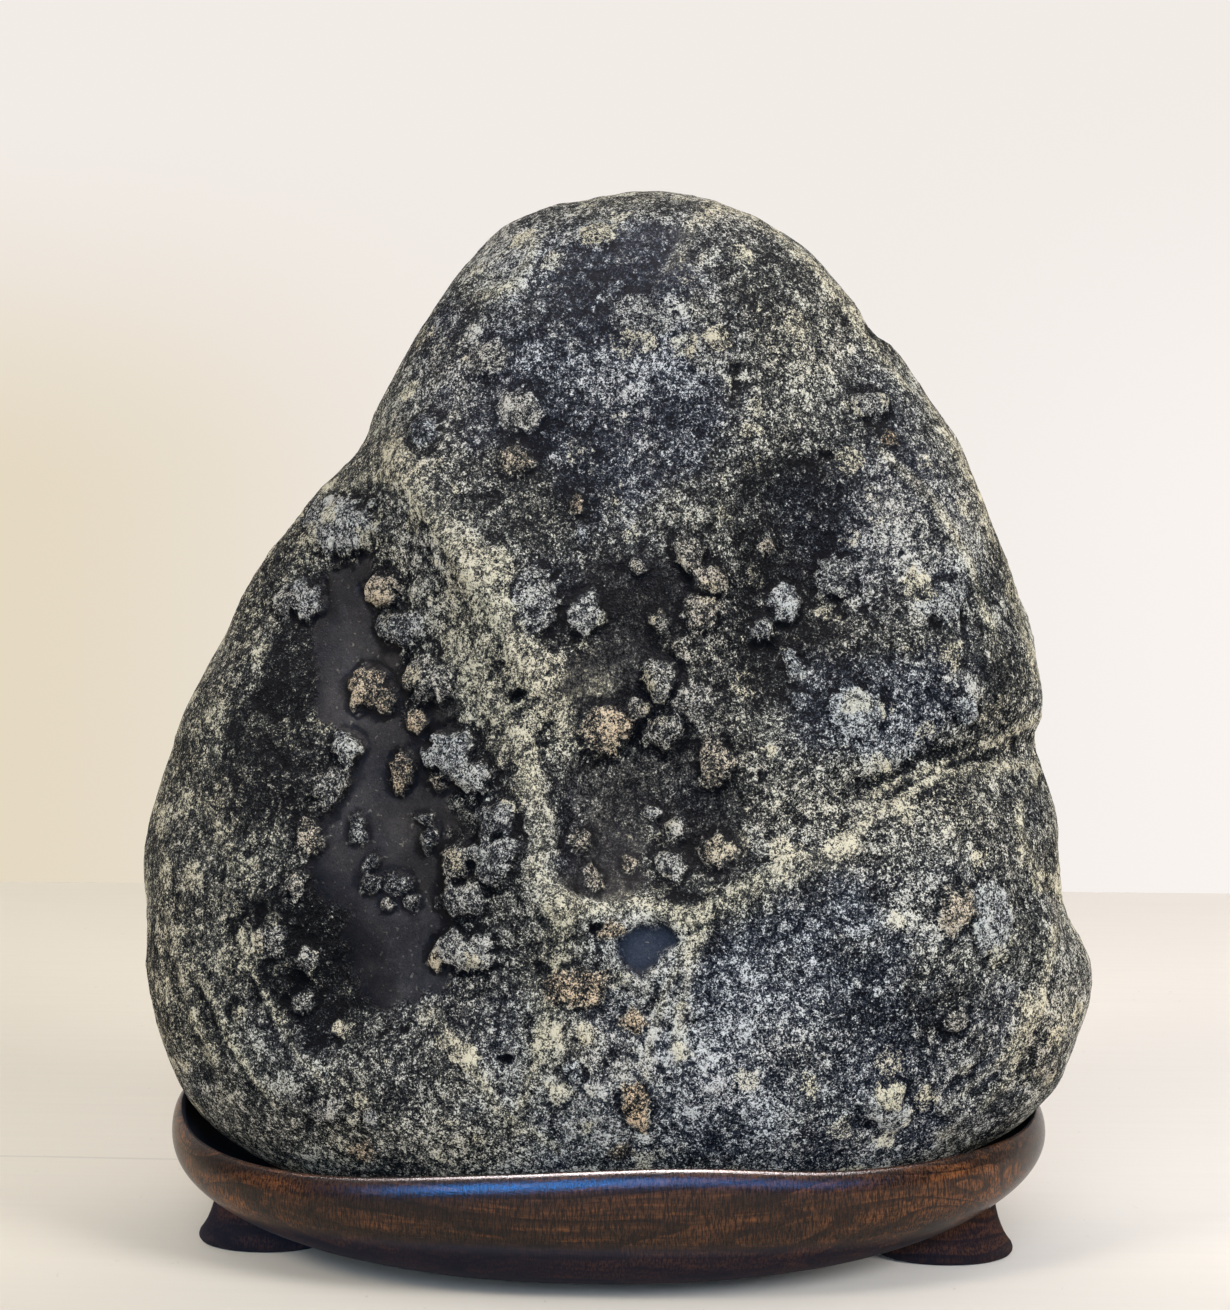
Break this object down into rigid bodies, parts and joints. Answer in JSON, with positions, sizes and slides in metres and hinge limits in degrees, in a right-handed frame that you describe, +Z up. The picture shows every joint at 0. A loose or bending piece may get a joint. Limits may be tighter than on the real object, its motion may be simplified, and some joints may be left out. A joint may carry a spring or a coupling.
{
  "type": "scholar's rock on a stand",
  "caption": "Dark water-worn scholar's rock shaped like a peak, standing loose in a carved wooden stand with short flared feet.",
  "frame": {"origin": "on the surface that the stand's feet rest on, under the middle of the whole piece", "axes": "+Z up, towards the stone's summit; -Y is the stone's main face; +X is to the right of someone looking at that face"},
  "size_m": [0.1791, 0.103, 0.1956],
  "materials": {
    "stone": "water-worn, dark blue-black with pale speckle, softly polished in its hollows",
    "stand_wood": "dark brown hardwood, polished to a satin gloss"
  },
  "bodies": {
    "root": {"stone": "stone", "stand": "stand_wood"}
  },
  "joints": []
}
